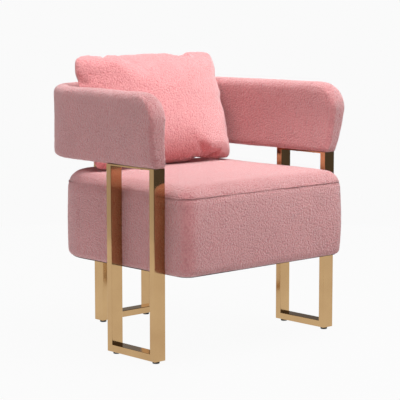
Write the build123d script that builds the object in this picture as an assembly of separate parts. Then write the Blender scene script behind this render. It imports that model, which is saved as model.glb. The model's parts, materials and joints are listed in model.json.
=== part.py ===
from build123d import *
import math
import os

# Upholstered armchair on three welded leg frames.  Millimetres, +Z up, the front of
# the chair looks along -Y.  The origin is on the floor, under the middle of the
# chair's bounding box.

# ---- driving dimensions: the whole chair --------------------------------------
WIDTH = 676.0              # over the two side leg frames, and over the arm band at its rear corners
DEPTH = 620.0              # from the seat's front to the back of the arm band
SEAT_BOTTOM = 232.0        # underside of the seat's fabric
SEAT_SEAM = 436.0          # seam between the seat's side panel and its top
SEAT_TOP = 466.0           # crown of the seat
BAND_BOTTOM = 510.0        # underside of the arms and back
BAND_TOP = 705.0           # top of the arms and back

# ---- leg frames: rectangular steel tube ----------------------------------------
TUBE_WIDE = 38.0
TUBE_THIN = 19.0
TUBE_WALL = 1.5
TUBE_EDGE = 1.6            # rounding along the tube's long edges
FLOOR_GAP = 7.5            # floor to the underside of a foot bar
PLATE_THICK = 4.0          # flat bar welded across the tops of two posts
SIDE_FRAME_LENGTH = 191.0
SIDE_FRAME_FRONT = -230.0
REAR_FRAME_LENGTH = 197.0
POST_TOP = BAND_BOTTOM - PLATE_THICK

# ---- levelling glides ------------------------------------------------------------
GLIDE_INSET = 16.0         # from the end of a frame to the glide's axis
GLIDE_RADIUS = 9.5
GLIDE_PAD = 5.0
GLIDE_EDGE = 1.5
STEM_RADIUS = 3.95
STEM_TOP = 21.5
STEM_ANCHOR = 2.0          # how far the stem is moulded into its pad
BUSH_BORE = 4.0
BUSH_RADIUS = 5.5
BUSH_FLANGE_RADIUS = 7.5
BUSH_FLANGE = 0.8
BUSH_TOP = 18.5

# ---- seat: layers from the outside in ---------------------------------------------
SEAT_HALF = WIDTH / 2 - TUBE_WIDE
SEAT_FRONT = -DEPTH / 2
SEAT_BACK = DEPTH / 2 - TUBE_WIDE
SEAT_FRONT_RADIUS = 40.0
SEAT_REAR_RADIUS = 150.0
SEAT_TOP_ROUND = 28.0
SEAT_LOW_ROUND = 10.0
FABRIC = 3.0
WRAP = 12.0                # soft wadding between fabric and wood
PLY = 15.0
LIP = 30.0                 # fabric turned under the seat and stapled to the wood
DUST_SHEET = 1.0
RAIL_TOP = 392.0
FELT_TOP = 403.0
FELT = 3.0
BLOCK = 25.0               # hardwood blocks behind the rails, where the legs bolt on
BLOCK_TOP = 385.0
BACK_RAIL_HALF = 150.0
CORNER_LEG = 45.0

# ---- seat springs -------------------------------------------------------------------
SPRING_WIRE = 1.9
SPRING_HALF = 22.0
SPRING_BENDS = 22
SPRING_GRID = 84.0
SPRING_COUNT = 5
SPRING_LEVEL = 395.5
CLIP_LENGTH = 24.0
CLIP_DEPTH = 13.0
CLIP_HEIGHT = 7.0
CLIP_SHEET = 1.0

# ---- arms and back: one padded band -----------------------------------------------
BAND_THICK = 55.0
BAND_RADIUS = 190.0        # outer radius of the two rear corners
BAND_TOP_ROUND = 22.0
BAND_FABRIC = 2.5
BAND_FOAM = 10.0           # padding on each face of the wooden core
BOARD = 3.0
RIB = 18.0
CORE_TOP = 684.0
CORE_FRONT = -207.0
ARM_TOE = 2.6              # degrees that each arm turns outwards towards its front
ARM_NOSE = -253.0          # most forward point of an arm
ARM_FOOT = -237.0          # front of an arm at its underside
ARM_RADIUS = 70.0
UPRIGHT = 30.0

# ---- pillow ---------------------------------------------------------------------------
PILLOW_WIDTH = 516.0
PILLOW_HEIGHT = 326.0
PILLOW_BULGE = 74.0        # from the seam to the crown, each side
PILLOW_TILT = 16.8
PILLOW_FOOT_Y = 104.0
PILLOW_FOOT_Z = 472.5
PILLOW_FABRIC = 2.0
ZIP_LENGTH = 400.0
ZIP_SHEET = 2.0
ZIP_DEPTH = 8.0
ZIP_PROUD = 3.0
SLIDER_LENGTH = 10.0
SLIDER_WIDTH = 6.6
SLIDER_DROP = 4.5
SLIDER_GAP = 0.4
PULL_LENGTH = 18.0
PULL_SHEET = 1.2

# ---- fasteners ----------------------------------------------------------------------
BOLT_RADIUS = 4.0
BOLT_HOLE = 4.3
BOLT_HEAD = 6.5
BOLT_HEAD_HEIGHT = 8.0
BOLT_LEVELS = (290.0, 360.0)
BOLT_REACH = 15.0          # how far a bolt passes into its post
WASHER_RADIUS = 11.0
WASHER = 1.5
NUT_RADIUS = 5.5
NUT_LENGTH = 13.0
NUT_BORE = 4.05
SCREW_RADIUS = 3.0
SCREW_HOLE = 3.3
SCREW_HEAD = 5.5
SCREW_HEAD_HEIGHT = 3.0
SCREW_TOP = 534.0
SCREW_SPACING = 64.0
SIDE_SCREW_OUT = 3.0       # from a side plate's centre line outwards, under the toed-out rib
BACK_SCREW_OUT = (BAND_THICK - TUBE_WIDE) / -2
TEE_RADIUS = 4.2
TEE_BORE = 3.05
TEE_FLANGE_RADIUS = 9.0
TEE_FLANGE = 1.2
TEE_LENGTH = 12.0

SIDE_FRAME_X = WIDTH / 2 - TUBE_WIDE / 2
SIDE_FRAME_Y = SIDE_FRAME_FRONT + SIDE_FRAME_LENGTH / 2
REAR_FRAME_Y = DEPTH / 2 - TUBE_WIDE / 2

os.makedirs("parts", exist_ok=True)
written = []


def save(name, shape):
    export_step(shape, "parts/" + name + ".step")
    written.append(name)


def slab(low, high):
    """A box between two corners."""
    size = [high[i] - low[i] for i in range(3)]
    middle = [(high[i] + low[i]) / 2 for i in range(3)]
    return Pos(*middle) * Box(*size)


def rod(radius, start, length, direction="Z"):
    """A cylinder from a start point along +X, +Y or +Z."""
    turn = {"X": Rot(0, 90, 0), "Y": Rot(-90, 0, 0), "Z": Rot(0, 0, 0)}[direction]
    low = (Align.CENTER, Align.CENTER, Align.MIN)
    return Pos(*start) * turn * Cylinder(radius, length, align=low)


def prism_xz(points, low_y, high_y):
    """An outline of (x, z) points pushed through from low_y to high_y."""
    wire = Polyline(*[(x, low_y, z) for x, z in points], close=True)
    return extrude(make_face(wire), amount=high_y - low_y, dir=(0, 1, 0))


# ---- leg frames ----------------------------------------------------------------------
def mitred_tube(outer, inner, edge_axis):
    """A length of tube between mitre cuts, from its outer and inner side outlines."""
    half = TUBE_WIDE / 2
    body = prism_xz(outer, -half, half)
    body = fillet(body.edges().filter_by(edge_axis), TUBE_EDGE)
    bore = prism_xz(inner, -half + TUBE_WALL, half - TUBE_WALL)
    return body - bore


def leg_post(length, side):
    """An upright of a frame that lies along X; side is -1 or 1."""
    out = length / 2
    inset = TUBE_THIN
    wall = TUBE_WALL
    low = FLOOR_GAP
    outer = [(out, low), (out, POST_TOP), (out - inset, POST_TOP), (out - inset, low + inset)]
    deep = inset - wall
    inner = [(out - wall, low + wall), (out - wall, POST_TOP),
             (out - deep, POST_TOP), (out - deep, low + deep)]
    outer = [(side * x, z) for x, z in outer]
    inner = [(side * x, z) for x, z in inner]
    return mitred_tube(outer, inner, Axis.Z)


def foot_bar(length):
    """The bar along the floor, with a hole for each glide's bush."""
    out = length / 2
    low = FLOOR_GAP
    bar = mitred_tube(bar_outline(out, low, 0, TUBE_THIN),
                      bar_outline(out, low, TUBE_WALL, TUBE_THIN - TUBE_WALL), Axis.X)
    for side in (-1, 1):
        bar -= rod(BUSH_RADIUS, (side * (out - GLIDE_INSET), 0, low - 1), TUBE_WALL + 2)
    return bar


def bar_outline(out, low, near, deep):
    return [(-out + near, low + near), (out - near, low + near),
            (out - deep, low + deep), (-out + deep, low + deep)]


def top_plate(length, screw_y):
    """The flat bar that carries the arm band."""
    low = (-length / 2, -TUBE_WIDE / 2, POST_TOP)
    high = (length / 2, TUBE_WIDE / 2, BAND_BOTTOM)
    plate = slab(low, high)
    plate = fillet(plate.edges().filter_by(Axis.Z), TUBE_EDGE)
    for side in (-1, 1):
        plate -= rod(SCREW_HOLE, (side * SCREW_SPACING / 2, screw_y, POST_TOP - 1), PLATE_THICK + 2)
    return plate


def bolt_places(length):
    """Where the seat's bolts enter a frame that lies along X."""
    return [(side * (length / 2 - TUBE_THIN / 2), level)
            for side in (-1, 1) for level in BOLT_LEVELS]


def frame_pieces(length, screw_y):
    """All pieces of one frame lying along X, with its seat on the -Y side."""
    face = -TUBE_WIDE / 2
    posts = {}
    for side in (-1, 1):
        post = leg_post(length, side)
        for x, level in bolt_places(length):
            if x * side > 0:
                post -= rod(NUT_RADIUS, (x, face - 1, level), TUBE_WALL + 2, "Y")
        posts[side] = post
    bushes = [glide_bush(side * (length / 2 - GLIDE_INSET)) for side in (-1, 1)]
    glides = {side: glide(side * (length / 2 - GLIDE_INSET)) for side in (-1, 1)}
    nuts = [rod(NUT_RADIUS, (x, face, z), NUT_LENGTH, "Y")
            - rod(NUT_BORE, (x, face - 1, z), NUT_LENGTH + 2, "Y")
            for x, z in bolt_places(length)]
    bolts = [seat_bolt(x, face, z) for x, z in bolt_places(length)]
    washers = [seat_washer(x, face, z) for x, z in bolt_places(length)]
    screws = [band_screw(side * SCREW_SPACING / 2, screw_y) for side in (-1, 1)]
    tees = [tee_nut(side * SCREW_SPACING / 2, screw_y) for side in (-1, 1)]
    return {"posts": posts, "bar": foot_bar(length), "plate": top_plate(length, screw_y),
            "bushes": bushes, "glides": glides, "nuts": nuts, "bolts": bolts,
            "washers": washers, "screws": screws, "tees": tees}


def glide_bush(x):
    """A threaded bush pressed up into the foot bar."""
    bush = rod(BUSH_RADIUS, (x, 0, FLOOR_GAP), BUSH_TOP - FLOOR_GAP)
    bush += rod(BUSH_FLANGE_RADIUS, (x, 0, FLOOR_GAP - BUSH_FLANGE), BUSH_FLANGE)
    return bush - rod(BUSH_BORE, (x, 0, FLOOR_GAP - 2), BUSH_TOP)


def glide(x):
    """A glide's moulded pad and the threaded stem that it screws in by."""
    pad = rod(GLIDE_RADIUS, (x, 0, 0), GLIDE_PAD)
    pad = fillet(pad.edges(), GLIDE_EDGE)
    stem = rod(STEM_RADIUS, (x, 0, GLIDE_PAD - STEM_ANCHOR), STEM_TOP - GLIDE_PAD + STEM_ANCHOR)
    stem = chamfer(stem.edges().sort_by(Axis.Z)[-1], 0.8)
    return {"pad": pad - stem, "stem": stem}


# ---- fasteners -----------------------------------------------------------------------
def grip():
    """Thickness from a frame's inner face to the far side of a mounting block."""
    return FABRIC + WRAP + PLY + BLOCK


def seat_bolt(x, face, z):
    """A socket-head bolt from inside the seat into a post."""
    start = face - grip() - WASHER
    bolt = rod(BOLT_RADIUS, (x, start, z), grip() + WASHER + BOLT_REACH, "Y")
    bolt += rod(BOLT_HEAD, (x, start - BOLT_HEAD_HEIGHT, z), BOLT_HEAD_HEIGHT, "Y")
    socket = Pos(x, start - BOLT_HEAD_HEIGHT, z) * Rot(-90, 0, 0) * extrude(RegularPolygon(3.5, 6), 5)
    return bolt - socket


def seat_washer(x, face, z):
    start = face - grip() - WASHER
    ring = rod(WASHER_RADIUS, (x, start, z), WASHER, "Y")
    return ring - rod(BOLT_HOLE, (x, start - 1, z), WASHER + 2, "Y")


def band_screw(x, y):
    """A button-head screw up through a top plate into the band's lower rib."""
    screw = rod(SCREW_RADIUS, (x, y, POST_TOP), SCREW_TOP - POST_TOP)
    head = rod(SCREW_HEAD, (x, y, POST_TOP - SCREW_HEAD_HEIGHT), SCREW_HEAD_HEIGHT)
    head = fillet(head.edges().sort_by(Axis.Z)[0], 1.8)
    socket = Pos(x, y, POST_TOP - SCREW_HEAD_HEIGHT) * extrude(RegularPolygon(2.2, 6), 1.8)
    return screw + head - socket


def tee_nut(x, y):
    """A tee nut let into the top face of the lower rib."""
    top = BAND_BOTTOM + BAND_FABRIC + RIB
    nut = rod(TEE_RADIUS, (x, y, top - TEE_LENGTH), TEE_LENGTH)
    nut += rod(TEE_FLANGE_RADIUS, (x, y, top), TEE_FLANGE)
    return nut - rod(TEE_BORE, (x, y, top - TEE_LENGTH - 1), TEE_LENGTH + TEE_FLANGE + 2)


def place_frames():
    """The three frames in place, by name."""
    # a plate's screws meet the rib's centre line, which isn't the tube's
    side = frame_pieces(SIDE_FRAME_LENGTH, SIDE_SCREW_OUT)
    rear = frame_pieces(REAR_FRAME_LENGTH, BACK_SCREW_OUT)
    right = Pos(SIDE_FRAME_X, SIDE_FRAME_Y, 0) * Rot(0, 0, -90)
    left = Pos(-SIDE_FRAME_X, SIDE_FRAME_Y, 0) * Rot(0, 0, 90)
    return {"left": (left, side, {-1: "front", 1: "rear"}),
            "right": (right, side, {-1: "rear", 1: "front"}),
            "back": (Pos(0, REAR_FRAME_Y, 0), rear, {-1: "left", 1: "right"})}


def save_frames(frames):
    shared = {"bushes": [], "nuts": [], "bolts": [], "washers": [], "screws": [], "tees": []}
    for name, (where, pieces, ends) in frames.items():
        for side, end in ends.items():
            save(f"{name}_frame_{end}_post", where * pieces["posts"][side])
            save(f"{name}_{end}_glide_pad", where * pieces["glides"][side]["pad"])
            save(f"{name}_{end}_glide_stem", where * pieces["glides"][side]["stem"])
        save(f"{name}_frame_foot_bar", where * pieces["bar"])
        save(f"{name}_frame_top_plate", where * pieces["plate"])
        for kind in shared:
            shared[kind] += [where * piece for piece in pieces[kind]]
    names = {"bushes": "glide_bushes", "nuts": "post_rivet_nuts", "bolts": "seat_bolts",
             "washers": "seat_bolt_washers", "screws": "band_screws", "tees": "band_tee_nuts"}
    for kind, name in names.items():
        save(name, Compound(children=shared[kind]))


def bolt_clearance(frames):
    """Clearance holes for every seat bolt, as one shape to cut with."""
    holes = []
    for where, pieces, _ in frames.values():
        length = SIDE_FRAME_LENGTH if pieces is frames["left"][1] else REAR_FRAME_LENGTH
        for x, z in bolt_places(length):
            face = -TUBE_WIDE / 2
            holes.append(where * rod(BOLT_HOLE, (x, face - grip() - 1, z), grip() + 1, "Y"))
    return holes


def screw_clearance(frames, radius, low, high):
    """Holes around every band screw."""
    out = {"left": SIDE_SCREW_OUT, "right": SIDE_SCREW_OUT, "back": BACK_SCREW_OUT}
    return [where * rod(radius, (side * SCREW_SPACING / 2, out[name], low), high - low)
            for name, (where, _, _) in frames.items() for side in (-1, 1)]


# ---- seat ------------------------------------------------------------------------------
def seat_plan(inset):
    """The seat's plan outline, moved in by inset."""
    half = SEAT_HALF - inset
    front = SEAT_FRONT + inset
    back = SEAT_BACK - inset
    plan = Pos(0, (front + back) / 2) * Rectangle(2 * half, back - front)
    corners = plan.vertices().sort_by(Axis.Y)
    plan = fillet(corners[-2:], SEAT_REAR_RADIUS - inset)
    corners = plan.vertices().sort_by(Axis.Y)
    return fillet(corners[:2], SEAT_FRONT_RADIUS - inset)


def seat_slab(inset, low, high, top_round=0.0, low_round=0.0):
    """The seat's plan between two levels, with its rims rounded."""
    body = extrude(Pos(0, 0, low) * seat_plan(inset), high - low)
    if top_round:
        body = fillet(body.faces().sort_by(Axis.Z)[-1].edges(), top_round)
    if low_round:
        body = fillet(body.faces().sort_by(Axis.Z)[0].edges(), low_round)
    return body


def seat_covers(holes):
    outside = seat_slab(0, SEAT_BOTTOM, SEAT_SEAM, low_round=SEAT_LOW_ROUND)
    inside = seat_slab(FABRIC, SEAT_BOTTOM + FABRIC, SEAT_SEAM, low_round=SEAT_LOW_ROUND - FABRIC)
    side_panel = outside - inside - seat_slab(FABRIC + LIP, SEAT_BOTTOM - 1, SEAT_BOTTOM + FABRIC + 1)
    for hole in holes:
        side_panel -= hole
    crown = seat_slab(0, SEAT_SEAM, SEAT_TOP, top_round=SEAT_TOP_ROUND)
    hollow = seat_slab(FABRIC, SEAT_SEAM, SEAT_TOP - FABRIC, top_round=SEAT_TOP_ROUND - FABRIC)
    save("seat_side_cover", side_panel)
    save("seat_top_cover", crown - hollow)
    save("seat_dust_cover", seat_slab(FABRIC + 8, SEAT_BOTTOM - DUST_SHEET, SEAT_BOTTOM))


def seat_padding(holes):
    foam = seat_slab(FABRIC, FELT_TOP, SEAT_TOP - FABRIC, top_round=SEAT_TOP_ROUND - FABRIC)
    wrap = seat_slab(FABRIC, SEAT_BOTTOM + FABRIC, FELT_TOP, low_round=SEAT_LOW_ROUND - FABRIC)
    wrap -= seat_slab(FABRIC + WRAP, SEAT_BOTTOM, FELT_TOP + 1)
    for hole in holes:
        wrap -= hole
    save("seat_foam_block", foam)
    save("seat_side_wadding", wrap)
    save("seat_spring_felt", seat_slab(FABRIC + WRAP, FELT_TOP - FELT, FELT_TOP))


def seat_frame(holes):
    """The wooden box inside the seat."""
    low = SEAT_BOTTOM + FABRIC
    outer = FABRIC + WRAP
    ring = seat_slab(outer, low, RAIL_TOP) - seat_slab(outer + PLY, low - 1, RAIL_TOP + 1)
    for hole in holes:
        ring -= hole
    front_line = SEAT_FRONT + outer + PLY
    far = WIDTH
    save("seat_front_rail", ring & slab((-far, -far, 0), (far, front_line, far)))
    save("seat_left_rail", ring & slab((-far, front_line, 0), (-BACK_RAIL_HALF, far, far)))
    save("seat_right_rail", ring & slab((BACK_RAIL_HALF, front_line, 0), (far, far, far)))
    save("seat_back_rail", ring & slab((-BACK_RAIL_HALF, 0, 0), (BACK_RAIL_HALF, far, far)))


def seat_blocks(holes):
    """Glue blocks in the corners, and the blocks that the leg bolts pull on."""
    low = SEAT_BOTTOM + FABRIC
    inset = FABRIC + WRAP + PLY
    side = SEAT_HALF - inset
    front = SEAT_FRONT + inset
    back = SEAT_BACK - inset
    core = seat_slab(inset, low, BLOCK_TOP)
    corner = Polyline((side, front), (side - CORNER_LEG, front), (side, front + CORNER_LEG), close=True)
    right_front = extrude(Pos(0, 0, low) * make_face(corner), BLOCK_TOP - low) & core
    right_back = slab((BACK_RAIL_HALF - 22, back - BLOCK, low), (BACK_RAIL_HALF + 22, back, BLOCK_TOP)) & core
    pair = [right_front, right_back]
    save("seat_corner_blocks", Compound(children=pair + [mirror(piece, Plane.YZ) for piece in pair]))

    reach = SIDE_FRAME_LENGTH / 2 + 6
    right = slab((side - BLOCK, SIDE_FRAME_Y - reach + 4, low + 20), (side, SIDE_FRAME_Y + reach, BLOCK_TOP))
    reach = REAR_FRAME_LENGTH / 2 + 8
    rear = slab((-reach, back - BLOCK, low + 20), (reach, back, BLOCK_TOP))
    blocks = [right, mirror(right, Plane.YZ), rear]
    for hole in holes:
        blocks = [block - hole for block in blocks]
    save("seat_leg_blocks", Compound(children=blocks))


def spring_end(x):
    """Middle of the back rail's top edge at x, where a spring is clipped."""
    inset = FABRIC + WRAP + PLY / 2
    radius = SEAT_REAR_RADIUS - inset
    sideways = abs(x) - (SEAT_HALF - SEAT_REAR_RADIUS)
    straight = SEAT_BACK - inset
    if sideways <= 0:
        return straight
    return straight - radius + math.sqrt(radius ** 2 - sideways ** 2)


def zigzag_spring(x, front, back):
    """A flat serpentine of wire from the front rail to the back rail."""
    step = (back - front) / SPRING_BENDS
    points = []
    side = -1
    for bend in range(SPRING_BENDS + 1):
        y = front + bend * step
        points += [(x + side * SPRING_HALF, y, SPRING_LEVEL), (x - side * SPRING_HALF, y, SPRING_LEVEL)]
        side = -side
    path = FilletPolyline(*points, radius=step / 2 - 0.3)
    section = Plane(origin=points[0], z_dir=(1, 0, 0)) * Circle(SPRING_WIRE)
    return sweep(section, path=path)


def spring_clip(x, y, way):
    """A folded steel strip that holds a spring's end bar; way points to the seat's middle."""
    low = RAIL_TOP
    high = RAIL_TOP + CLIP_HEIGHT
    half = CLIP_DEPTH / 2
    strip = slab((x - CLIP_LENGTH / 2, y - half, low), (x + CLIP_LENGTH / 2, y + half, high))
    gap_ends = sorted((y - way * (half - CLIP_SHEET), y + way * (half + 1)))
    gap = slab((x - CLIP_LENGTH, gap_ends[0], low + CLIP_SHEET),
               (x + CLIP_LENGTH, gap_ends[1], high - CLIP_SHEET))
    return strip - gap


def seat_springs():
    front = SEAT_FRONT + FABRIC + WRAP + PLY / 2
    springs = []
    clips = []
    for index in range(SPRING_COUNT):
        x = (index - (SPRING_COUNT - 1) / 2) * SPRING_GRID
        back = spring_end(abs(x) + CLIP_LENGTH / 2)
        springs.append(zigzag_spring(x, front, back))
        clips += [spring_clip(x, front, 1), spring_clip(x, back, -1)]
    save("seat_springs", Compound(children=springs))
    save("seat_spring_clips", Compound(children=clips))


# ---- arms and back -----------------------------------------------------------------------
def arm_line(inset, y):
    """Distance of an arm's face from the middle of the chair at y."""
    toe = math.radians(ARM_TOE)
    radius = BAND_RADIUS - inset
    start_x = WIDTH / 2 - BAND_RADIUS + radius * math.cos(toe)
    start_y = DEPTH / 2 - BAND_RADIUS + radius * math.sin(toe)
    return start_x + (start_y - y) * math.tan(toe)


def u_face(inset, front):
    """The area inside the band's plan, moved in by inset, with its arms toed out."""
    turn_x = WIDTH / 2 - BAND_RADIUS
    turn_y = DEPTH / 2 - BAND_RADIUS
    radius = BAND_RADIUS - inset
    sweep_angle = 90 - ARM_TOE
    right = CenterArc((turn_x, turn_y), radius, ARM_TOE, sweep_angle)
    left = CenterArc((-turn_x, turn_y), radius, 90, sweep_angle)
    nose = arm_line(inset, front)
    sides = Polyline(left @ 1, (-nose, front), (nose, front), right @ 0)
    return make_face([right, Line(right @ 1, left @ 0), left, *sides.edges()])


def u_wall(outer, inner, front, low, high, top_round=0.0):
    """A wall along the band's plan, between two insets and two levels."""
    far = front - 50
    body = extrude(Pos(0, 0, low) * (u_face(outer, front) - u_face(inner, far)), high - low)
    if top_round:
        rim = body.faces().sort_by(Axis.Z)[-1].edges()
        ends = rim.sort_by(Axis.Y)[:2]
        body = fillet([edge for edge in rim if edge not in ends], top_round)
    return body


def arm_profile(inset):
    """The arms' side view, as a block to trim the band with."""
    low = BAND_BOTTOM + inset
    high = BAND_TOP - inset
    bend = BAND_TOP - ARM_RADIUS
    nose = ARM_NOSE + inset
    foot = ARM_FOOT + inset
    crest = ARM_NOSE + ARM_RADIUS
    corner = Polyline((crest, high), (DEPTH, high), (DEPTH, low), (foot, low), (nose, bend))
    arc = ThreePointArc((nose, bend), arc_middle(crest, bend, ARM_RADIUS - inset), (crest, high))
    return extrude(Plane.YZ * make_face([*corner.edges(), arc]), amount=WIDTH, both=True)


def arc_middle(x, y, radius):
    """The point halfway round the upper left quarter of a circle."""
    share = radius * math.sqrt(0.5)
    return (x - share, y + share)


def band_body(inset):
    """The padded band's full volume, moved in by inset."""
    wall = u_wall(inset, BAND_THICK - inset, ARM_NOSE - 40, BAND_BOTTOM + inset, BAND_TOP - inset,
                  top_round=BAND_TOP_ROUND - inset)
    return wall & arm_profile(inset)


def band_core():
    """The wooden core's whole volume."""
    inset = BAND_FABRIC + BAND_FOAM
    return u_wall(inset, BAND_THICK - inset, CORE_FRONT, BAND_BOTTOM + BAND_FABRIC, CORE_TOP)


def band_padding():
    foam = band_body(BAND_FABRIC) - band_core()
    turn_x = WIDTH / 2 - BAND_RADIUS
    turn_y = DEPTH / 2 - BAND_RADIUS
    far = WIDTH
    save("band_left_arm_foam", foam & slab((-far, -far, 0), (-turn_x, turn_y, BAND_TOP)))
    save("band_right_arm_foam", foam & slab((turn_x, -far, 0), (far, turn_y, BAND_TOP)))
    save("band_left_corner_foam", foam & slab((-far, turn_y, 0), (-turn_x, far, BAND_TOP)))
    save("band_right_corner_foam", foam & slab((turn_x, turn_y, 0), (far, far, BAND_TOP)))
    save("band_back_foam", foam & slab((-turn_x, turn_y, 0), (turn_x, far, BAND_TOP)))


def band_cover(frames):
    cover = band_body(0) - band_body(BAND_FABRIC)
    for hole in screw_clearance(frames, SCREW_HOLE, BAND_BOTTOM - 1, BAND_BOTTOM + BAND_FABRIC + 1):
        cover -= hole
    save("band_cover", cover)


def upright_places():
    """Middle points and turns of the blocks between the band's two ribs."""
    front = CORE_FRONT + UPRIGHT / 2
    turn_x = WIDTH / 2 - BAND_RADIUS
    turn_y = DEPTH / 2 - BAND_RADIUS
    middle = BAND_RADIUS - BAND_THICK / 2
    diagonal = middle * math.sqrt(0.5)
    levels = (front, (front + turn_y) / 2, turn_y)
    right = [(arm_line(BAND_THICK / 2, y), y, ARM_TOE) for y in levels]
    right.append((turn_x + diagonal, turn_y + diagonal, 45))
    back_y = DEPTH / 2 - BAND_THICK / 2
    left = [(-x, y, -turn) for x, y, turn in right]
    return right + left + [(-turn_x / 2, back_y, 0), (turn_x / 2, back_y, 0)]


def band_frame(frames):
    """The two ribs, the uprights between them and the boards on both faces."""
    low = BAND_BOTTOM + BAND_FABRIC
    outer = BAND_FABRIC + BAND_FOAM
    inner = BAND_THICK - outer
    bottom = u_wall(outer + BOARD, inner - BOARD, CORE_FRONT, low, low + RIB)
    top = u_wall(outer + BOARD, inner - BOARD, CORE_FRONT, CORE_TOP - RIB, CORE_TOP)
    for hole in screw_clearance(frames, TEE_RADIUS, low - 1, low + RIB + 1):
        bottom -= hole
    save("band_bottom_rib", bottom)
    save("band_top_rib", top)
    tall = CORE_TOP - low - 2 * RIB
    room = u_wall(outer + BOARD, inner - BOARD, CORE_FRONT, low + RIB, CORE_TOP - RIB)
    blocks = [Pos(x, y, low + RIB + tall / 2) * Rot(0, 0, turn) * Box(UPRIGHT, UPRIGHT, tall) & room
              for x, y, turn in upright_places()]
    save("band_uprights", Compound(children=blocks))
    save("band_outer_board", u_wall(outer, outer + BOARD, CORE_FRONT, low, CORE_TOP))
    save("band_inner_board", u_wall(inner - BOARD, inner, CORE_FRONT, low, CORE_TOP))


# ---- pillow ---------------------------------------------------------------------------------
# share of the bulge reached, and the part of the width and height left there
PILLOW_SECTIONS = ((0.0, 1.0, 1.0), (0.42, 0.9, 0.86), (0.8, 0.68, 0.6), (1.0, 0.4, 0.32))


def pillow_half(inset, way):
    """Half of the pillow, from the seam plane to its crown; way is -1 for the front."""
    width = PILLOW_WIDTH - 2 * inset
    height = PILLOW_HEIGHT - 2 * inset
    bulge = PILLOW_BULGE - inset
    sections = []
    for share, wide, tall in PILLOW_SECTIONS:
        radius = 0.12 * height * tall
        outline = RectangleRounded(width * wide, height * tall, radius)
        plane = Plane(origin=(0, way * bulge * share, PILLOW_HEIGHT / 2), x_dir=(1, 0, 0), z_dir=(0, way, 0))
        sections.append(plane * outline)
    return loft(sections)


def pillow_place():
    return Pos(0, PILLOW_FOOT_Y, PILLOW_FOOT_Z) * Rot(-PILLOW_TILT, 0, 0)


def zip_tape():
    half = ZIP_LENGTH / 2
    return slab((-half, -ZIP_SHEET / 2, -ZIP_PROUD), (half, ZIP_SHEET / 2, ZIP_DEPTH))


def zip_slider():
    """The slider at the left end of the zip, with its pull lying along it."""
    start = -ZIP_LENGTH / 2
    half = SLIDER_WIDTH / 2
    body = slab((start, -half, -SLIDER_DROP), (start + SLIDER_LENGTH, half, -SLIDER_GAP))
    slot = ZIP_SHEET / 2 + SLIDER_GAP
    body -= slab((start - 1, -slot, -ZIP_PROUD - SLIDER_GAP), (start + SLIDER_LENGTH + 1, slot, 1))
    pull = slab((start + 2, -half - PULL_SHEET, -SLIDER_DROP + 0.5), (start + 2 + PULL_LENGTH, -half, -1))
    return body + pull


def save_pillow():
    where = pillow_place()
    tape = zip_tape()
    halves = {}
    for name, way in (("front", -1), ("back", 1)):
        outer = pillow_half(0, way)
        inner = pillow_half(PILLOW_FABRIC, way)
        halves[name] = inner
        save(f"pillow_{name}_cover", where * (outer - inner - tape))
    save("pillow_insert", where * (halves["front"] + halves["back"] - tape))
    save("pillow_zip_tape", where * tape)
    save("pillow_zip_slider", where * zip_slider())


frames = place_frames()
bolt_holes = bolt_clearance(frames)
save_frames(frames)
seat_covers(bolt_holes)
seat_padding(bolt_holes)
seat_frame(bolt_holes)
seat_blocks(bolt_holes)
seat_springs()
band_frame(frames)
band_padding()
band_cover(frames)
save_pillow()
print(len(written), "nodes")
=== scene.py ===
import json
import math

import bmesh
import bpy
from mathutils import Matrix, Vector, noise


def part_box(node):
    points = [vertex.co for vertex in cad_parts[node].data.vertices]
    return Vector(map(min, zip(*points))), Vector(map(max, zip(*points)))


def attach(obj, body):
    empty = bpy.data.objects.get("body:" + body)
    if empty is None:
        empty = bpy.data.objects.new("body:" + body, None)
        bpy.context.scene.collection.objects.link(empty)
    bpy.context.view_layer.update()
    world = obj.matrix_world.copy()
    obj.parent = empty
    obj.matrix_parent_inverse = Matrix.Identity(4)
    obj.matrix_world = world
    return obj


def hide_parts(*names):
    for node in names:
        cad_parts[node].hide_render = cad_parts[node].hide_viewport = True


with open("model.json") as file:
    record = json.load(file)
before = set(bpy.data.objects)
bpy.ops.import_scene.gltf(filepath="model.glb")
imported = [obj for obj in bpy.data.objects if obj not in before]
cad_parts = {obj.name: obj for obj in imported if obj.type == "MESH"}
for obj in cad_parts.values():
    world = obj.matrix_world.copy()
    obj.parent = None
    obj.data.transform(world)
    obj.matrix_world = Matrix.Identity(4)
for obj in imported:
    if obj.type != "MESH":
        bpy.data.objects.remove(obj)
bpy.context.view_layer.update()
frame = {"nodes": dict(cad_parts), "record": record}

# ---- measures taken from the frame -------------------------------------------------
SIDE_LOW, SIDE_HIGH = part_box("seat_side_cover")
TOP_LOW, TOP_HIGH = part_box("seat_top_cover")
BAND_LOW, BAND_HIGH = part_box("band_cover")
SEAT_HALF = SIDE_HIGH[0]
SEAT_FRONT = SIDE_LOW[1]
SEAT_BACK = SIDE_HIGH[1]
SEAT_SEAM = TOP_LOW[2]
SEAT_CROWN = TOP_HIGH[2]
BAND_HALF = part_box("right_frame_front_post")[1][0]
BAND_BACK = BAND_HIGH[1]

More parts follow.
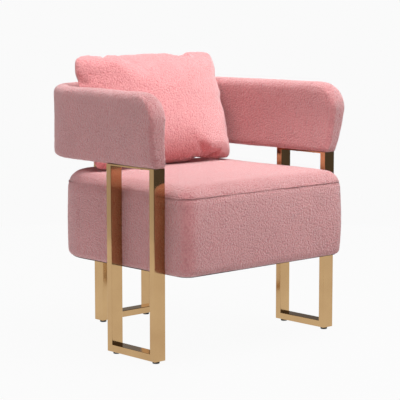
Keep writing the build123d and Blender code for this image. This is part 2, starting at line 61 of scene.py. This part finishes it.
# ---- shapes that the frame doesn't give ----------------------------------------------
SEAT_FRONT_RADIUS = 0.040
SEAT_REAR_RADIUS = 0.150
SEAT_LOW_ROUND = 0.012
SEAT_TOP_ROUND = 0.044
SEAT_DOME = 0.007           # rise of the seat's middle
SEAT_FULLNESS = 0.004       # how far the side panel swells between its seams
SEAT_VOXEL = 0.006
SEAT_RELAX = 4              # smoothing rounds
CLOTH = 0.002
SEAM_INSET = 0.0032
SEAM_RADIUS = 0.0013
STITCH = 0.004              # spacing of the swells along a seam
BAND_THICK = 0.055
BAND_RADIUS = 0.190
BAND_TOP_ROUND = 0.024
BAND_LOW_ROUND = 0.008
BAND_WAIST = 0.002          # how far the band's walls draw in at half height
BAND_VOXEL = 0.005
BAND_RELAX = 16
ARM_TOE = math.radians(2.6)
ARM_FOOT = -0.237
ARM_LEAN = 0.023            # how much further out an arm's front is at its widest than at its foot
ARM_TUCK = 0.010            # how far an arm's foot is drawn in at the front
LEAN_PEAK = 0.62            # share of the band's height at which an arm is widest
ARM_END_ROUND = 0.016
ARM_RADIUS = 0.070
END_SEAM = 0.018            # from an arm's front edge back to its end panel's seam
PILLOW_TILT = math.radians(16.8)
PILLOW_FOOT = Vector((0, 0.104, 0.4695))    # 3 mm into the seat, which gives under it
PILLOW_WIDTH = 0.524
PILLOW_HEIGHT = 0.330
PILLOW_DEPTH = 0.150
PILLOW_CORNER = 14.0        # how square the pillow's outline is
PANEL_WIDTH = 0.575         # each flat panel of the pillow's cover, at its edges
PANEL_HEIGHT = 0.372
INFLATE_FRAMES = 24
INFLATE_PRESSURE = 5.0

# ---- finish, stage and camera ----------------------------------------------------------
# the pile's colour ramp: the darker stop is painted shade for the gaps between nubs, the lighter stop is
# the nub tops
PILE_LIGHT = (0.90, 0.38, 0.39)
PILE_GAP_SHADE = (0.77, 0.25, 0.26)
PILE_DEPTH = 0.006
PILLOW_PILE_DEPTH = 0.0028
FLOOR_RADIUS = 2.2
CAMERA_PLACE = (-3.018, -3.3075, 0.9657)
CAMERA_DROP = 7.46          # degrees below level
CAMERA_TURN = -42.70
CAMERA_LENS = 145.2


# ---- material helpers ----------------------------------------------------------------
def new_material(name):
    material = bpy.data.materials.new(name)
    material.use_nodes = True
    nodes = material.node_tree.nodes
    return material, nodes, material.node_tree.links, nodes["Principled BSDF"]


def object_place(nodes, links, scale=(1, 1, 1)):
    coordinates = nodes.new("ShaderNodeTexCoord")
    mapping = nodes.new("ShaderNodeMapping")
    mapping.inputs["Scale"].default_value = scale
    links.new(coordinates.outputs["Object"], mapping.inputs["Vector"])
    return mapping.outputs["Vector"]


def noise_node(nodes, links, place, scale, detail=3.0, rough=0.55):
    node = nodes.new("ShaderNodeTexNoise")
    node.inputs["Scale"].default_value = scale
    node.inputs["Detail"].default_value = detail
    node.inputs["Roughness"].default_value = rough
    links.new(place, node.inputs["Vector"])
    return node.outputs["Fac"]


def cell_node(nodes, links, place, scale):
    node = nodes.new("ShaderNodeTexVoronoi")
    node.feature = "SMOOTH_F1"
    node.inputs["Scale"].default_value = scale
    links.new(place, node.inputs["Vector"])
    return node.outputs["Distance"]


def ramp(nodes, links, value, stops):
    node = nodes.new("ShaderNodeValToRGB")
    elements = node.color_ramp.elements
    while len(elements) < len(stops):
        elements.new(0.5)
    for element, (position, color) in zip(elements, stops):
        element.position = position
        element.color = (*color, 1)
    links.new(value, node.inputs["Fac"])
    return node.outputs["Color"]


def multiply_colors(nodes, links, first, second):
    node = nodes.new("ShaderNodeMix")
    node.data_type = "RGBA"
    node.blend_type = "MULTIPLY"
    node.inputs["Factor"].default_value = 1.0
    links.new(first, node.inputs["A"])
    links.new(second, node.inputs["B"])
    return node.outputs["Result"]


def math_node(nodes, links, operation, first, second):
    node = nodes.new("ShaderNodeMath")
    node.operation = operation
    for index, value in enumerate((first, second)):
        if isinstance(value, (int, float)):
            node.inputs[index].default_value = value
        else:
            links.new(value, node.inputs[index])
    return node.outputs["Value"]


def bump(nodes, links, height, strength, distance):
    node = nodes.new("ShaderNodeBump")
    node.inputs["Strength"].default_value = strength
    node.inputs["Distance"].default_value = distance
    links.new(height, node.inputs["Height"])
    return node.outputs["Normal"]


# ---- materials --------------------------------------------------------------------------
def boucle(name, depth):
    """Short looped pile: soft nubs of 4 to 6 mm, depth high, with fine fibre over them. The colour follows
    the pile's height: painted shade darkens the gaps between nubs, and the fibre adds random tone.
    """
    material, nodes, links, shader = new_material(name)
    place = object_place(nodes, links)
    nub = cell_node(nodes, links, place, 230.0)
    curl = noise_node(nodes, links, place, 420.0, 4.0, 0.7)
    patch = noise_node(nodes, links, place, 14.0, 3.0)
    mixed = math_node(nodes, links, "MULTIPLY", nub, 0.9)
    height = math_node(nodes, links, "SUBTRACT", curl, mixed)
    shade = math_node(nodes, links, "ADD", height, 0.45)
    # painted shade: the pile's colour is darker where its height is low, in the gaps between nubs
    pile = ramp(nodes, links, shade, ((0.25, PILE_GAP_SHADE), (0.75, PILE_LIGHT)))
    drift = ramp(nodes, links, patch, ((0.3, (0.93, 0.93, 0.93)), (0.7, (1.0, 1.0, 1.0))))
    color = multiply_colors(nodes, links, pile, drift)
    links.new(color, shader.inputs["Base Color"])
    links.new(bump(nodes, links, height, 1.0, depth), shader.inputs["Normal"])
    shader.inputs["Roughness"].default_value = 0.93
    shader.inputs["Specular IOR Level"].default_value = 0.15
    shader.inputs["Sheen Weight"].default_value = 0.9
    shader.inputs["Sheen Roughness"].default_value = 0.45
    shader.inputs["Sheen Tint"].default_value = (1.0, 0.92, 0.92, 1)
    return material


def gold():
    """Polished warm gold plating with faint polishing lines and finger haze."""
    material, nodes, links, shader = new_material("gold_metal")
    place = object_place(nodes, links)
    lines = noise_node(nodes, links, object_place(nodes, links, (900, 900, 12)), 1.0, 2.0)
    haze = noise_node(nodes, links, place, 9.0, 3.0)
    tone = ramp(nodes, links, haze, ((0.25, (0.48, 0.30, 0.145)), (0.75, (0.57, 0.375, 0.185))))
    links.new(tone, shader.inputs["Base Color"])
    low = math_node(nodes, links, "MULTIPLY", haze, 0.10)
    rough = math_node(nodes, links, "ADD", low, 0.06)
    links.new(rough, shader.inputs["Roughness"])
    links.new(bump(nodes, links, lines, 0.05, 0.0004), shader.inputs["Normal"])
    shader.inputs["Metallic"].default_value = 1.0
    return material


def grained(name, low, high, rough, scale, metallic=0.0, stretch=(1, 1, 1), depth=0.0003):
    """A plain procedural finish: two tones, a grain and a bump."""
    material, nodes, links, shader = new_material(name)
    grain = noise_node(nodes, links, object_place(nodes, links, stretch), scale, 5.0, 0.6)
    links.new(ramp(nodes, links, grain, ((0.3, low), (0.7, high))), shader.inputs["Base Color"])
    links.new(bump(nodes, links, grain, 0.4, depth), shader.inputs["Normal"])
    shader.inputs["Roughness"].default_value = rough
    shader.inputs["Metallic"].default_value = metallic
    return material


def woven(name, low, high, pitch):
    """A flat weave from two crossed waves, not from UVs."""
    material, nodes, links, shader = new_material(name)
    place = object_place(nodes, links)
    threads = []
    for direction in ("X", "Y"):
        wave = nodes.new("ShaderNodeTexWave")
        wave.bands_direction = direction
        wave.inputs["Scale"].default_value = 0.314 / pitch
        wave.inputs["Distortion"].default_value = 0.6
        links.new(place, wave.inputs["Vector"])
        threads.append(wave.outputs["Fac"])
    weave = math_node(nodes, links, "MULTIPLY", threads[0], threads[1])
    links.new(ramp(nodes, links, weave, ((0.1, low), (0.8, high))), shader.inputs["Base Color"])
    links.new(bump(nodes, links, weave, 0.5, 0.0004), shader.inputs["Normal"])
    shader.inputs["Roughness"].default_value = 0.9
    return material


def threaded_steel():
    """Bright plated steel with a fine screw thread in the bump."""
    material, nodes, links, shader = new_material("zinc_steel")
    place = object_place(nodes, links)
    wave = nodes.new("ShaderNodeTexWave")
    wave.bands_direction = "Z"
    wave.inputs["Scale"].default_value = 250.0
    links.new(place, wave.inputs["Vector"])
    dirt = noise_node(nodes, links, place, 120.0)
    links.new(ramp(nodes, links, dirt, ((0.3, (0.45, 0.45, 0.47)), (0.7, (0.66, 0.66, 0.68)))),
              shader.inputs["Base Color"])
    links.new(bump(nodes, links, wave.outputs["Fac"], 0.6, 0.0005), shader.inputs["Normal"])
    shader.inputs["Roughness"].default_value = 0.32
    shader.inputs["Metallic"].default_value = 1.0
    return material


def make_materials():
    return {
        "pink_boucle": boucle("pink_boucle", PILE_DEPTH),
        "pink_plush": boucle("pink_plush", PILLOW_PILE_DEPTH),
        "gold_metal": gold(),
        "glide_plastic": grained("glide_plastic", (0.012, 0.012, 0.012), (0.03, 0.03, 0.03), 0.5, 700.0),
        "zinc_steel": threaded_steel(),
        "screw_steel": grained("screw_steel", (0.03, 0.03, 0.032), (0.07, 0.07, 0.075), 0.38, 400.0, 1.0),
        "foam": grained("foam", (0.72, 0.66, 0.50), (0.86, 0.81, 0.66), 0.95, 600.0, depth=0.001),
        "wadding": grained("wadding", (0.78, 0.78, 0.76), (0.93, 0.93, 0.92), 1.0, 90.0, depth=0.002),
        "dust_cloth": woven("dust_cloth", (0.008, 0.008, 0.008), (0.035, 0.035, 0.037), 0.0016),
        "fibreboard": grained("fibreboard", (0.30, 0.19, 0.10), (0.42, 0.28, 0.16), 0.8, 500.0),
        "plywood": grained("plywood", (0.50, 0.35, 0.20), (0.70, 0.53, 0.34), 0.7, 30.0, 0.0, (1, 1, 14)),
        "zip_tape": woven("zip_tape", (0.45, 0.20, 0.21), (0.70, 0.38, 0.40), 0.0012),
        "zip_metal": grained("zip_metal", (0.50, 0.24, 0.25), (0.62, 0.32, 0.33), 0.35, 300.0),
    }


# ---- mesh helpers --------------------------------------------------------------------------
def mesh_object(name, points, faces):
    mesh = bpy.data.meshes.new(name)
    mesh.from_pydata([tuple(point) for point in points], [], faces)
    mesh.validate()
    piece = bpy.data.objects.new(name, mesh)
    bpy.context.collection.objects.link(piece)
    return piece


def apply_modifiers(piece):
    """Replaces the piece's mesh with what its modifiers make of it."""
    graph = bpy.context.evaluated_depsgraph_get()
    graph.update()
    made = bpy.data.meshes.new_from_object(piece.evaluated_get(graph))
    piece.modifiers.clear()
    old = piece.data
    piece.data = made
    bpy.data.meshes.remove(old)


def soften(piece, voxel, rounds):
    """Even quads all over, then edges relaxed as padding relaxes them."""
    remesh = piece.modifiers.new("even", "REMESH")
    remesh.mode = "VOXEL"
    remesh.voxel_size = voxel
    smooth = piece.modifiers.new("relax", "SMOOTH")
    smooth.factor = 0.5
    smooth.iterations = rounds
    apply_modifiers(piece)


def finish_piece(piece, material, body):
    for polygon in piece.data.polygons:
        polygon.use_smooth = True
    piece.data.materials.clear()
    piece.data.materials.append(material)
    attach(piece, body)


def move_points(piece, shift):
    """Moves every vertex by shift(place, normal)."""
    mesh = piece.data
    normals = [vertex.normal.copy() for vertex in mesh.vertices]
    for vertex, normal in zip(mesh.vertices, normals):
        vertex.co += shift(vertex.co, normal)
    mesh.update()


def lumps(place, seed, dent=0.0016, nub=0.0005):
    """How far padding and pile stand out at a place, in metres."""
    broad = noise.noise(place * 9.0 + Vector((seed, 0, 0)))
    fine = noise.noise(place * 95.0 + Vector((0, seed, 0)))
    return dent * broad + nub * fine


def groove(distance, width, depth):
    return -depth * math.exp(-((distance / width) ** 2))


def arc_points(center, radius, start, end, count):
    return [(center[0] + radius * math.cos(math.radians(start + (end - start) * i / count)),
             center[1] + radius * math.sin(math.radians(start + (end - start) * i / count)))
            for i in range(count + 1)]


# ---- seat ------------------------------------------------------------------------------------
def seat_outline(inset):
    """The seat's plan, counted anticlockwise from the front right corner."""
    half = SEAT_HALF - inset
    front = SEAT_FRONT + inset
    back = SEAT_BACK - inset
    small = max(SEAT_FRONT_RADIUS - inset, 0.002)
    large = max(SEAT_REAR_RADIUS - inset, 0.002)
    points = arc_points((half - small, front + small), small, -90, 0, 8)
    points += arc_points((half - large, back - large), large, 0, 90, 16)
    points += arc_points((large - half, back - large), large, 90, 180, 16)
    points += arc_points((small - half, front + small), small, 180, 270, 8)
    return points


def ring_solid(name, levels):
    """A closed solid from stacked plan outlines: levels is a list of (inset, z)."""
    points = []
    rings = []
    for inset, z in levels:
        outline = seat_outline(inset)
        rings.append(range(len(points), len(points) + len(outline)))
        points += [(x, y, z) for x, y in outline]
    count = len(rings[0])
    faces = [(low[i], low[(i + 1) % count], high[(i + 1) % count], high[i])
             for low, high in zip(rings, rings[1:]) for i in range(count)]
    faces.append(tuple(reversed(rings[0])))
    faces.append(tuple(rings[-1]))
    return mesh_object(name, points, faces)


def quarter(radius, z, start, end, steps=6):
    """Insets and levels round a rim's quarter circle."""
    angles = [math.radians(start + (end - start) * i / steps) for i in range(steps + 1)]
    return [(radius * (1 - math.cos(a)), z + radius * math.sin(a)) for a in angles]


def seat_levels():
    low = quarter(SEAT_LOW_ROUND, SIDE_LOW[2] + SEAT_LOW_ROUND, -90, 0)
    high = quarter(SEAT_TOP_ROUND, SEAT_CROWN - SEAT_TOP_ROUND, 0, 90)
    return low + high


def seat_shift(place, normal):
    """The crown, the seam's pinch, fuller side panels and a soft surface."""
    x = place.x / SEAT_HALF
    y = (place.y - SEAT_FRONT) / (SEAT_BACK - SEAT_FRONT) * 2 - 1
    dome = max(0.0, 1 - x * x) * max(0.0, 1 - y * y)
    crown = SEAT_DOME * dome * max(0.0, normal.z)
    side = 1 - abs(normal.z)
    level = (place.z - SIDE_LOW[2]) / (SEAT_SEAM - SIDE_LOW[2])
    full = SEAT_FULLNESS * side * max(0.0, math.sin(math.pi * min(max(level, 0.0), 1.0)))
    front = 1.0 if normal.y < -0.3 else 0.25
    seam = groove(place.z - SEAT_SEAM, 0.0065, 0.0013) * side
    upright = groove(place.y - (SEAT_BACK - SEAT_REAR_RADIUS), 0.004, 0.0018)
    upright *= side if place.z < SEAT_SEAM and abs(normal.x) > 0.8 else 0.0
    out = full * front + seam + upright + lumps(place, 3.1)
    return normal * out + Vector((0, 0, crown))


def cut_level(piece, level, keep_low):
    """Keeps the part of a mesh below or above a level."""
    shape = bmesh.new()
    shape.from_mesh(piece.data)
    everything = shape.verts[:] + shape.edges[:] + shape.faces[:]
    bmesh.ops.bisect_plane(shape, geom=everything, plane_co=(0, 0, level), plane_no=(0, 0, 1),
                           clear_outer=keep_low, clear_inner=not keep_low)
    shape.to_mesh(piece.data)
    shape.free()


def copy_piece(piece, name):
    twin = piece.copy()
    twin.data = piece.data.copy()
    twin.name = name
    bpy.context.collection.objects.link(twin)
    return twin


def thicken(piece, amount):
    """Gives an open skin the thickness of its cloth, inwards."""
    solid = piece.modifiers.new("cloth", "SOLIDIFY")
    solid.thickness = amount
    solid.offset = -1.0
    apply_modifiers(piece)


def build_seat(material):
    side = ring_solid("seat_side_panel", seat_levels())
    soften(side, SEAT_VOXEL, SEAT_RELAX)
    move_points(side, seat_shift)
    top = copy_piece(side, "seat_top_panel")
    cut_level(side, SEAT_SEAM, True)
    cut_level(top, SEAT_SEAM, False)
    thicken(side, CLOTH)
    thicken(top, CLOTH)
    for piece in (side, top):
        finish_piece(piece, material, "chair")
    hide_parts("seat_side_cover", "seat_side_wadding")
    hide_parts("seat_top_cover", "seat_foam_block")


def seam_bead(name, points, radius, material, body):
    """A closed, rounded bead of folded cloth with its stitches, as a swept mesh."""
    count = 8
    total = len(points)
    verts = []
    for index, point in enumerate(points):
        along = (points[(index + 1) % total] - points[index - 1]).normalized()
        side = along.cross(Vector((0, 0, 1)))
        side.normalize()
        up = side.cross(along)
        swell = radius * (1 + 0.14 * math.sin(index * 2.1))
        for k in range(count):
            angle = 2 * math.pi * k / count
            verts.append(point + side * (swell * math.cos(angle)) + up * (swell * math.sin(angle)))
    faces = [(i * count + k, i * count + (k + 1) % count,
              (i + 1) % total * count + (k + 1) % count, (i + 1) % total * count + k)
             for i in range(total) for k in range(count)]
    piece = mesh_object(name, verts, faces)
    finish_piece(piece, material, body)


def spaced(points, step):
    """Points evenly spaced round a closed run of points."""
    points = points + [points[0]]
    made = [points[0]]
    left = step
    for start, end in zip(points, points[1:]):
        length = (end - start).length
        done = 0.0
        while length - done > left:
            done += left
            made.append(start + (end - start) * (done / length))
            left = step
        left -= length - done
    return made


def build_seat_seam(material):
    outline = [Vector((x, y, SEAT_SEAM)) for x, y in seat_outline(SEAM_INSET)]
    seam_bead("seat_seam", spaced(outline, STITCH), SEAM_RADIUS, material, "chair")


# ---- arms and back ------------------------------------------------------------------------------
def band_stations():
    """Points along the band's outer line as (x, y, outward normal), left arm's front to right's."""
    turn_x = BAND_HALF - BAND_RADIUS
    turn_y = BAND_BACK - BAND_RADIUS
    nose = BAND_LOW[1]
    out = (-math.cos(ARM_TOE), math.sin(ARM_TOE))
    start_x = -turn_x + BAND_RADIUS * out[0]
    start_y = turn_y + BAND_RADIUS * out[1]
    runs = 46
    left = []
    for i in range(runs):
        y = nose + (start_y - nose) * (i / runs) ** 1.25
        left.append((start_x - (start_y - y) * math.tan(ARM_TOE), y, out))
    steps = 30
    for i in range(steps + 1):
        angle = math.pi - ARM_TOE - (math.pi / 2 - ARM_TOE) * i / steps
        out = (math.cos(angle), math.sin(angle))
        left.append((-turn_x + BAND_RADIUS * out[0], turn_y + BAND_RADIUS * out[1], out))
    across = 24
    left += [(-turn_x + turn_x * i / across, BAND_BACK, (0.0, 1.0)) for i in range(1, across + 1)]
    right = [(-x, y, (-out[0], out[1])) for x, y, out in reversed(left[:-1])]
    return left + right


def arm_levels(y):
    """Lowest and highest level of the band at y, from its side view."""
    nose = BAND_LOW[1]
    bend = BAND_HIGH[2] - ARM_RADIUS
    low = BAND_LOW[2]
    if y < ARM_FOOT:
        low = bend - (y - nose) / (ARM_FOOT - nose) * (bend - BAND_LOW[2])
    high = BAND_HIGH[2]
    if y < nose + ARM_RADIUS:
        run = nose + ARM_RADIUS - y
        high = bend + math.sqrt(max(ARM_RADIUS ** 2 - run ** 2, 0.0))
    return low, max(high, low + 0.001)


def band_section(low, high):
    """One cross-section as (depth from the outer face, level), rounded at its corners."""
    tall = high - low
    top = min(BAND_TOP_ROUND, tall / 2.01)
    bottom = min(BAND_LOW_ROUND, tall / 2.01)
    points = arc_points((bottom, low + bottom), bottom, 270, 180, 4)
    points += arc_points((top, high - top), top, 180, 90, 6)
    points += arc_points((BAND_THICK - top, high - top), top, 90, 0, 6)
    points += arc_points((BAND_THICK - bottom, low + bottom), bottom, 0, -90, 4)
    return points


def build_band(material):
    points = []
    sections = []
    for x, y, out in band_stations():
        low, high = arm_levels(y)
        section = band_section(low, high)
        sections.append(range(len(points), len(points) + len(section)))
        points += [(x - out[0] * depth, y - out[1] * depth, z) for depth, z in section]
    count = len(sections[0])
    faces = [(a[i], a[(i + 1) % count], b[(i + 1) % count], b[i])
             for a, b in zip(sections, sections[1:]) for i in range(count)]
    faces.append(tuple(reversed(sections[0])))
    faces.append(tuple(sections[-1]))
    band = mesh_object("arm_and_back_band", points, faces)
    soften(band, BAND_VOXEL, BAND_RELAX)
    move_points(band, band_shift)
    finish_piece(band, material, "chair")
    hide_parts("band_cover", "band_left_arm_foam", "band_right_arm_foam",
                "band_left_corner_foam", "band_right_corner_foam", "band_back_foam")


def front_line(z):
    """How far forward an arm reaches at a level below its rounded corner."""
    nose = BAND_LOW[1]
    bend = BAND_HIGH[2] - ARM_RADIUS
    return nose + (bend - z) / (bend - BAND_LOW[2]) * (ARM_FOOT - nose)


def behind_front(place):
    """How far a place on an arm lies behind the arm's front edge."""
    bend = BAND_HIGH[2] - ARM_RADIUS
    if place.z > bend:
        return ARM_RADIUS - math.hypot(place.y - (BAND_LOW[1] + ARM_RADIUS), place.z - bend)
    return place.y - front_line(place.z)


def arm_lean(place, level, outer):
    """How far an arm's wall leans outwards towards its front; the inner wall leans less."""
    start = BAND_BACK - BAND_RADIUS
    toward = min(max((start - place.y) / (start - ARM_FOOT), 0.0), 1.0)
    rise = math.sin(math.pi / 2 * min(max(level / LEAN_PEAK, 0.0), 1.0))
    return toward * (ARM_LEAN * rise - ARM_TUCK) * (0.5 + 0.5 * outer)


def band_shift(place, normal):
    """Leaning arms with rounded ends, the end panel's seam, a waist in the walls, a soft surface."""
    out = lumps(place, 7.7)
    level = (place.z - BAND_LOW[2]) / (BAND_HIGH[2] - BAND_LOW[2])
    side = 1 - abs(normal.z)
    out -= BAND_WAIST * side * math.sin(math.pi * min(max(level, 0.0), 1.0))
    way = math.copysign(1.0, place.x)
    lean = way * arm_lean(place, level, min(max(0.5 + normal.x * way, 0.0), 1.0))
    if place.y < ARM_FOOT + ARM_RADIUS:
        back = behind_front(place)
        short = max(ARM_END_ROUND - max(back, 0.0), 0.0)
        lean -= normal.x * (ARM_END_ROUND - math.sqrt(ARM_END_ROUND ** 2 - short ** 2))
        if abs(normal.x) > 0.5:
            out += groove(back - END_SEAM, 0.0045, 0.0018) * abs(normal.x)
    return normal * out + Vector((lean, 0, 0))


# ---- pillow ---------------------------------------------------------------------------------------
def pillow_envelope():
    """Two flat panels sewn round their edge, standing in the XZ plane."""
    wide, tall = 84, 56
    size = Vector((PANEL_WIDTH, 0, PANEL_HEIGHT))
    points = []
    index = {}
    for way in (-1, 1):
        for i in range(wide + 1):
            for k in range(tall + 1):
                edge = i in (0, wide) or k in (0, tall)
                key = (0 if edge else way, i, k)
                if key in index:
                    continue
                u, v = i / wide, k / tall
                puff = 0.012 * math.sin(math.pi * u) * math.sin(math.pi * v)
                x = (u - 0.5) * size.x * (1 + 0.07 * math.sin(math.pi * v))
                z = (v - 0.5) * size.z * (1 + 0.11 * math.sin(math.pi * u))
                index[key] = len(points)
                points.append((x, 0.0 if edge else way * (puff + 0.002), z))
    faces = []
    for way in (-1, 1):
        for i in range(wide):
            for k in range(tall):
                corners = [(i, k), (i + 1, k), (i + 1, k + 1), (i, k + 1)]
                face = []
                for a, b in corners:
                    edge = a in (0, wide) or b in (0, tall)
                    face.append(index[(0 if edge else way, a, b)])
                faces.append(tuple(face if way < 0 else reversed(face)))
    return mesh_object("pillow", points, faces)


def inflate(piece, frames, pressure):
    cloth = piece.modifiers.new("cloth", "CLOTH")
    settings = cloth.settings
    settings.use_pressure = True
    settings.uniform_pressure_force = pressure
    settings.effector_weights.gravity = 0.0
    settings.mass = 0.3
    settings.tension_stiffness = 25.0
    settings.compression_stiffness = 25.0
    settings.shear_stiffness = 8.0
    settings.bending_stiffness = 0.6
    settings.air_damping = 2.0
    scene = bpy.context.scene
    cloth.point_cache.frame_start = 1
    cloth.point_cache.frame_end = frames
    for number in range(1, frames + 1):
        scene.frame_set(number)
    apply_modifiers(piece)
    scene.frame_set(1)


def spans(values, positions, low, high, cells):
    """Lowest and highest of values in each cell along positions."""
    found = [[1.0, -1.0] for _ in range(cells + 1)]
    for value, position in zip(values, positions):
        cell = round((position - low) / (high - low) * cells)
        found[cell][0] = min(found[cell][0], value)
        found[cell][1] = max(found[cell][1], value)
    return found


def between(found, position, low, high):
    """The span at a position, from its two nearest cells."""
    cells = len(found) - 1
    where = min(max((position - low) / (high - low) * cells, 0.0), cells - 0.001)
    cell = int(where)
    share = where - cell
    return [found[cell][i] * (1 - share) + found[cell + 1][i] * share for i in (0, 1)]


def square_up(piece, axis, other, half, half_other, blend):
    """Stretches each row along axis so that the outline becomes a soft-cornered rectangle."""
    mesh = piece.data
    along = [vertex.co[axis] for vertex in mesh.vertices]
    rows = [vertex.co[other] for vertex in mesh.vertices]
    low, high = min(rows), max(rows)
    found = spans(along, rows, low, high, 48)
    for vertex in mesh.vertices:
        start, end = between(found, vertex.co[other], low, high)
        if end - start < 0.4 * half:
            continue
        share = min(abs(vertex.co[other]) / half_other, 1.0)
        target = half * (1 - share ** PILLOW_CORNER) ** (1 / PILLOW_CORNER)
        middle = (start + end) / 2
        scale = (1 - blend) + blend * target / ((end - start) / 2)
        vertex.co[axis] = (vertex.co[axis] - middle * blend) * scale
    mesh.update()


def fit_pillow(piece):
    """Brings the inflated pillow to its size, with nearly straight edges, standing on z = 0."""
    mesh = piece.data
    for axis, size in ((0, PILLOW_WIDTH), (1, PILLOW_DEPTH), (2, PILLOW_HEIGHT)):
        values = [vertex.co[axis] for vertex in mesh.vertices]
        low, high = min(values), max(values)
        for vertex in mesh.vertices:
            vertex.co[axis] = (vertex.co[axis] - (low + high) / 2) * size / (high - low)
    square_up(piece, 2, 0, PILLOW_HEIGHT / 2, PILLOW_WIDTH / 2, 0.9)
    square_up(piece, 0, 2, PILLOW_WIDTH / 2, PILLOW_HEIGHT / 2, 0.8)
    mesh.transform(Matrix.Translation((0, 0, PILLOW_HEIGHT / 2)))


def lean_pillow(piece):
    """Stands the pillow in its place against the back."""
    turn = Matrix.Translation(PILLOW_FOOT) @ Matrix.Rotation(-PILLOW_TILT, 4, "X")
    piece.data.transform(turn)


def build_pillow(material):
    pillow = pillow_envelope()
    inflate(pillow, INFLATE_FRAMES, INFLATE_PRESSURE)
    fit_pillow(pillow)
    relax = pillow.modifiers.new("relax", "SMOOTH")
    relax.factor = 0.5
    relax.iterations = 5
    smooth = pillow.modifiers.new("fine", "SUBSURF")
    smooth.levels = 1
    smooth.render_levels = 1
    apply_modifiers(pillow)
    move_points(pillow, lambda place, normal: normal * lumps(place, 5.3, 0.0012, 0.0002))
    lean_pillow(pillow)
    finish_piece(pillow, material, "pillow")
    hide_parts("pillow_front_cover", "pillow_back_cover", "pillow_insert")


# ---- stage -------------------------------------------------------------------------------------------
def build_floor():
    """A round white floor, lit from within so that no shadow shows on it."""
    rim = [(FLOOR_RADIUS * math.cos(a / 48 * math.pi), FLOOR_RADIUS * math.sin(a / 48 * math.pi), 0)
           for a in range(96)]
    floor = mesh_object("floor", rim, [tuple(range(96))])
    material, nodes, links, shader = new_material("floor_paint")
    grain = noise_node(nodes, links, object_place(nodes, links), 40.0)
    links.new(ramp(nodes, links, grain, ((0.3, (0.010, 0.010, 0.010)), (0.7, (0.012, 0.012, 0.012)))),
              shader.inputs["Base Color"])
    shader.inputs["Roughness"].default_value = 0.8
    shader.inputs["Specular IOR Level"].default_value = 0.0
    shader.inputs["Emission Color"].default_value = (1, 1, 1, 1)
    shader.inputs["Emission Strength"].default_value = 0.95
    floor.data.materials.append(material)


def area_light(name, place, target, size, power):
    data = bpy.data.lights.new(name, "AREA")
    data.shape = "RECTANGLE"
    data.size, data.size_y = size
    data.energy = power
    light = bpy.data.objects.new(name, data)
    bpy.context.collection.objects.link(light)
    light.location = place
    light.rotation_euler = (Vector(target) - Vector(place)).to_track_quat("-Z", "Y").to_euler()
    light.visible_camera = False


def build_lights():
    area_light("overhead", (0.4, -0.8, 3.1), (0, 0, 0.4), (2.4, 2.4), 160)
    area_light("left_back", (-3.0, 2.8, 1.4), (0, 0, 0.4), (2.6, 2.0), 10)


def build_world():
    """White behind the chair for the camera; for light, bright at the back left, dim at the front right."""
    world = bpy.data.worlds.new("studio")
    bpy.context.scene.world = world
    world.use_nodes = True
    nodes = world.node_tree.nodes
    links = world.node_tree.links
    place = nodes.new("ShaderNodeTexCoord").outputs["Generated"]
    facing = nodes.new("ShaderNodeVectorMath")
    facing.operation = "DOT_PRODUCT"
    links.new(place, facing.inputs[0])
    facing.inputs[1].default_value = (-0.66, 0.72, 0.2)
    tone = ramp(nodes, links, facing.outputs["Value"],
                ((0.0, (0.16, 0.15, 0.15)), (0.25, (0.42, 0.41, 0.40)), (0.9, (0.95, 0.95, 0.95))))
    soft = nodes["Background"]
    links.new(tone, soft.inputs["Color"])
    soft.inputs["Strength"].default_value = 0.72
    wall = nodes.new("ShaderNodeBackground")
    wall.inputs["Color"].default_value = (0.956, 0.956, 0.956, 1)
    path = nodes.new("ShaderNodeLightPath")
    mix = nodes.new("ShaderNodeMixShader")
    links.new(path.outputs["Is Camera Ray"], mix.inputs["Fac"])
    links.new(soft.outputs["Background"], mix.inputs[1])
    links.new(wall.outputs["Background"], mix.inputs[2])
    links.new(mix.outputs["Shader"], nodes["World Output"].inputs["Surface"])


def build_camera():
    data = bpy.data.cameras.new("camera")
    data.lens = CAMERA_LENS
    data.sensor_width = 36.0
    camera = bpy.data.objects.new("camera", data)
    bpy.context.collection.objects.link(camera)
    camera.location = CAMERA_PLACE
    camera.rotation_euler = (math.radians(90 - CAMERA_DROP), 0, math.radians(CAMERA_TURN))
    bpy.context.scene.camera = camera


# ---- the scene -----------------------------------------------------------------------------------------
materials = make_materials()
for part in frame["record"]["subparts"]:
    node = frame["nodes"][part["node"]]
    node.data.materials.clear()
    node.data.materials.append(materials[part["material_slot"]])

build_camera()
build_seat(materials["pink_boucle"])
build_seat_seam(materials["pink_boucle"])
build_band(materials["pink_boucle"])
build_pillow(materials["pink_plush"])
build_floor()
build_lights()
build_world()
bpy.context.scene.view_settings.view_transform = "Standard"
